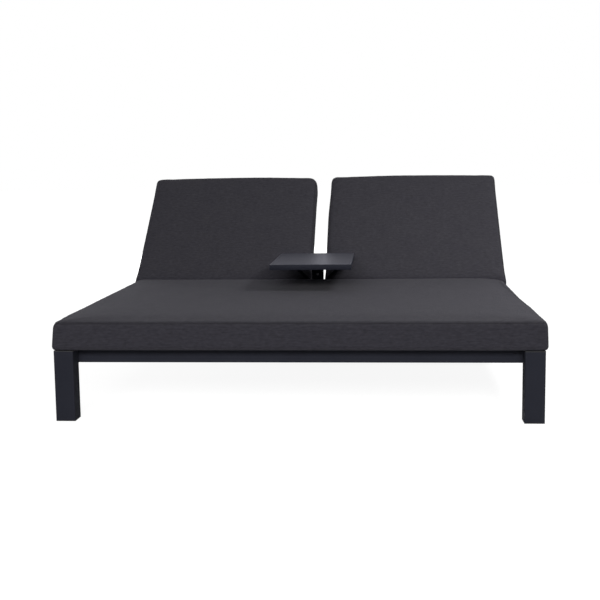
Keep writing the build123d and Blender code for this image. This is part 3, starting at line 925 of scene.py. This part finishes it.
def draw_edges_out(points):
    """Draws the seat cushion's cloth out into the edge of its front and the edge round its foot."""
    past_side = np.maximum(np.abs(points[:, 0]) - (seat_high.x - crisp_reach), 0)
    past_front = np.maximum(seat_low.y + crisp_reach - points[:, 1], 0)
    reach = np.maximum(np.hypot(past_side, past_front), least_reach)
    inset = np.maximum(crisp_reach - reach, 0)
    frontal = past_front / reach
    above = points[:, 2] > cushion_thickness / 2
    room = np.where(above, np.maximum(crisp_top - points[:, 2], 0), points[:, 2])
    crispness = np.where(above, top_crispness * frontal ** 2, foot_crispness)
    move = crispness * np.minimum(inset, room)
    points[:, 0] += np.sign(points[:, 0]) * past_side / reach * move
    points[:, 1] -= frontal * move
    points[:, 2] += np.where(above, move, -move)


def shape_seat(points):
    """Crisps the seat cushion's edges, makes room for the tray's post, and settles its corners."""
    draw_edges_out(points)
    room = bracket_front - post_gap
    beside = smooth_step(np.abs(points[:, 0]), post_room, post_room + post_room_fade)
    limit = room + (points[:, 1] - room) * beside
    points[:, 1] = np.where(points[:, 1] > room, limit, points[:, 1])
    height = points[:, 2] / points[:, 2].max()
    cornered = 1 - smooth_step(points[:, 1], seat_low.y, seat_low.y + corner_run)
    draw = np.where(points[:, 0] < 0, corner_draws["left"], corner_draws["right"]) * cornered
    points[:, 0] *= 1 + (foot_flare * (1 - height) - draw * height) / seat_high.x
    beside = smooth_step(points[:, 0], seat_high.x - sag_width, seat_high.x)
    dent = side_dent * beside * np.exp(-(((points[:, 1] - dent_place) / dent_run) ** 2))
    sag = corner_sag * beside * smooth_step(points[:, 1], *sag_run)
    points[:, 0] -= dent * height
    points[:, 2] -= (dent + sag) * height


def shape_back(points, side):
    """Fills out the top of a back's cushion, most in its middle, and leans its edge beside the gap."""
    across = points[:, 0] / back_half_width
    upward = np.clip(points[:, 1] / back_length, 0, 1)
    points[:, 1] += (top_fullness[side] + top_bow * (1 - across ** 2)) * upward
    low, high = gap_shifts[side]
    beside_gap = smooth_step(-sides[side] * across, 0, 1)
    points[:, 0] += beside_gap * (low + (high - low) * smooth_step(upward, gap_lean_start, 1))


seat_cushion = SimpleNamespace(
    name="seat_cushion_cover",
    body="frame",
    cad_node="seat_cushion",
    foot=Vector((0, 0, seat_low.z)),
    along=seat_along,
    out=seat_out,
    half_width=seat_high.x - side_bulge,
    sewn_end=seat_low.y,
    inward=1,
    rounds=seat_rounds,
    seam_levels=seat_seams,
    voxel=seat_voxel,
    settle=shape_seat,
    seed=seat_seed,
)
back_cushions = [
    SimpleNamespace(
        name=f"{side}_back_cushion_cover",
        body=f"{side}_back",
        cad_node=f"{side}_back_cushion",
        foot=hinge + out_of_slope * back_cushion_out + Vector((sign * back_centre - hinge.x, 0, 0)),
        along=up_slope,
        out=out_of_slope,
        half_width=back_half_width,
        sewn_end=back_length,
        inward=-1,
        rounds=back_rounds[side],
        seam_levels=back_seams,
        voxel=back_voxel,
        settle=partial(shape_back, side=side),
        seed=back_seeds[side],
    )
    for side, sign in sides.items()
]
for cushion in (seat_cushion, *back_cushions):
    make_cushion(cushion)


# Tray

def make_tray():
    """The tray's folded sheet: a shallow pan turned over, with a raised rim round its top."""
    bm = bmesh.new()
    bmesh.ops.create_cube(bm, size=1)
    size = tray_high - tray_low
    middle = (tray_high + tray_low) / 2
    bmesh.ops.scale(bm, vec=size, verts=bm.verts)
    bmesh.ops.translate(bm, vec=middle, verts=bm.verts)
    below = [face for face in bm.faces if face.normal.z < -level_share]
    bmesh.ops.delete(bm, geom=below, context="FACES_ONLY")
    above = [face for face in bm.faces if face.normal.z > level_share]
    for inset, rise in ((tray_rim, 0), (tray_rim_height, -tray_rim_height)):
        bmesh.ops.inset_region(bm, faces=above, thickness=inset, depth=rise, use_even_offset=True)
    tray = piece_from(bm, "tray_shell")
    skin = tray.modifiers.new("skin", "SOLIDIFY")
    skin.thickness = tray_skin - tray_rim_height
    skin.offset = -1
    skin.use_even_offset = True
    rounding = tray.modifiers.new("rounding", "BEVEL")
    rounding.width = tray_bevel
    rounding.segments = tray_bevel_segments
    rounding.limit_method = "ANGLE"
    rounding.angle_limit = tray_bevel_angle
    apply_modifiers(tray)
    tray.data.shade_smooth()
    tray.data.set_sharp_from_angle(angle=tray_sharp_angle)
    tray.data.materials.append(materials["tray_coat"])
    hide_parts("tray_top")
    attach(tray, "tray")


def dress_nodes():
    """Gives each node of the frame the finish of its slot."""
    for node in frame["nodes"].values():
        for spot in node.material_slots:
            if spot.material:
                slot = spot.material.name.split(".")[0]
                spot.material = materials.get(slot, spot.material)


make_tray()
dress_nodes()


# Floor, light and camera

def make_floor():
    """A plain pale floor that keeps the lounger's shadow."""
    bm = bmesh.new()
    bmesh.ops.create_grid(bm, x_segments=1, y_segments=1, size=floor_reach)
    floor = piece_from(bm, "floor")
    finish, tree, shader, place = new_material("pale_floor")
    tree.nodes.remove(shader)
    paint = add_node(tree, "ShaderNodeBsdfDiffuse")
    patches = cloud(tree, place, *floor_noise)
    feed(tree, paint.inputs["Color"], mixed_colour(tree, patches, floor_dark, floor_pale))
    glow = add_node(tree, "ShaderNodeEmission")
    away = add_node(tree, "ShaderNodeVectorMath", operation="LENGTH")
    feed(tree, away.inputs[0], place)
    far = maths(tree, "DIVIDE", away.outputs["Value"], floor_fade, clamp=True)
    feed(tree, glow.inputs["Strength"], mixed(tree, far, near_white, far_white))
    rays = add_node(tree, "ShaderNodeLightPath").outputs
    mirrored = maths(tree, "MAXIMUM", rays["Is Glossy Ray"], rays["Is Transmission Ray"])
    mirrored = maths(tree, "MULTIPLY", mirrored, floor_gloss_share)
    seen = maths(tree, "MULTIPLY", rays["Is Camera Ray"], floor_glow_share)
    mix = add_node(tree, "ShaderNodeMixShader")
    feed(tree, mix.inputs[0], maths(tree, "MAXIMUM", seen, mirrored))
    feed(tree, mix.inputs[1], paint.outputs[0])
    feed(tree, mix.inputs[2], glow.outputs[0])
    feed(tree, tree.nodes["Material Output"].inputs["Surface"], mix.outputs[0])
    floor.data.materials.append(finish)


def make_world():
    """A white surround that shows white, and lights the lounger softly."""
    world = bpy.data.worlds.new("studio")
    bpy.context.scene.world = world
    world.use_nodes = True
    tree = world.node_tree
    sky = tree.nodes["Background"]
    rays = add_node(tree, "ShaderNodeLightPath").outputs
    seen = maths(tree, "MAXIMUM", rays["Is Camera Ray"], rays["Is Glossy Ray"])
    seen = maths(tree, "MAXIMUM", seen, rays["Is Transmission Ray"])
    feed(tree, sky.inputs["Color"], mixed_colour(tree, rays["Is Glossy Ray"], white, gloss_tint))
    feed(tree, sky.inputs["Strength"], mixed(tree, seen, surround_light, 1.0))


def make_lamp(name, direction, distance, width, height, level, mirrored):
    """A soft lamp that faces the lounger. A mirrored one shows in gloss."""
    light = bpy.data.lights.new(name, "AREA")
    light.shape = "RECTANGLE"
    light.size = width
    light.size_y = height
    light.energy = level * full_light * distance ** 2
    lamp = bpy.data.objects.new(name, light)
    bpy.context.scene.collection.objects.link(lamp)
    towards = Vector(direction).normalized()
    lamp.location = lamp_target + towards * distance
    lamp.rotation_mode = "QUATERNION"
    lamp.rotation_quaternion = towards.to_track_quat("Z", "Y")
    lamp.visible_glossy = mirrored


def make_camera():
    """The camera, at the photograph's place and angle."""
    pace = cos(camera_pitch)
    ahead = Vector((-sin(camera_yaw) * pace, cos(camera_yaw) * pace, -sin(camera_pitch)))
    level_right = Vector((cos(camera_yaw), sin(camera_yaw), 0))
    level_up = level_right.cross(ahead)
    right = level_right * cos(camera_roll) + level_up * sin(camera_roll)
    up = level_up * cos(camera_roll) - level_right * sin(camera_roll)
    lens = bpy.data.cameras.new("camera")
    lens.sensor_width = sensor_width
    lens.lens = focal_pixels / frame_pixels * sensor_width
    camera = bpy.data.objects.new("camera", lens)
    bpy.context.scene.collection.objects.link(camera)
    turned = Matrix((right, up, -ahead)).transposed().to_4x4()
    turned.translation = camera_place
    camera.matrix_world = turned
    bpy.context.scene.camera = camera


make_floor()
make_world()
for name, lamp in lamps.items():
    make_lamp(name, **lamp)
make_camera()
bpy.context.scene.view_settings.view_transform = "Standard"
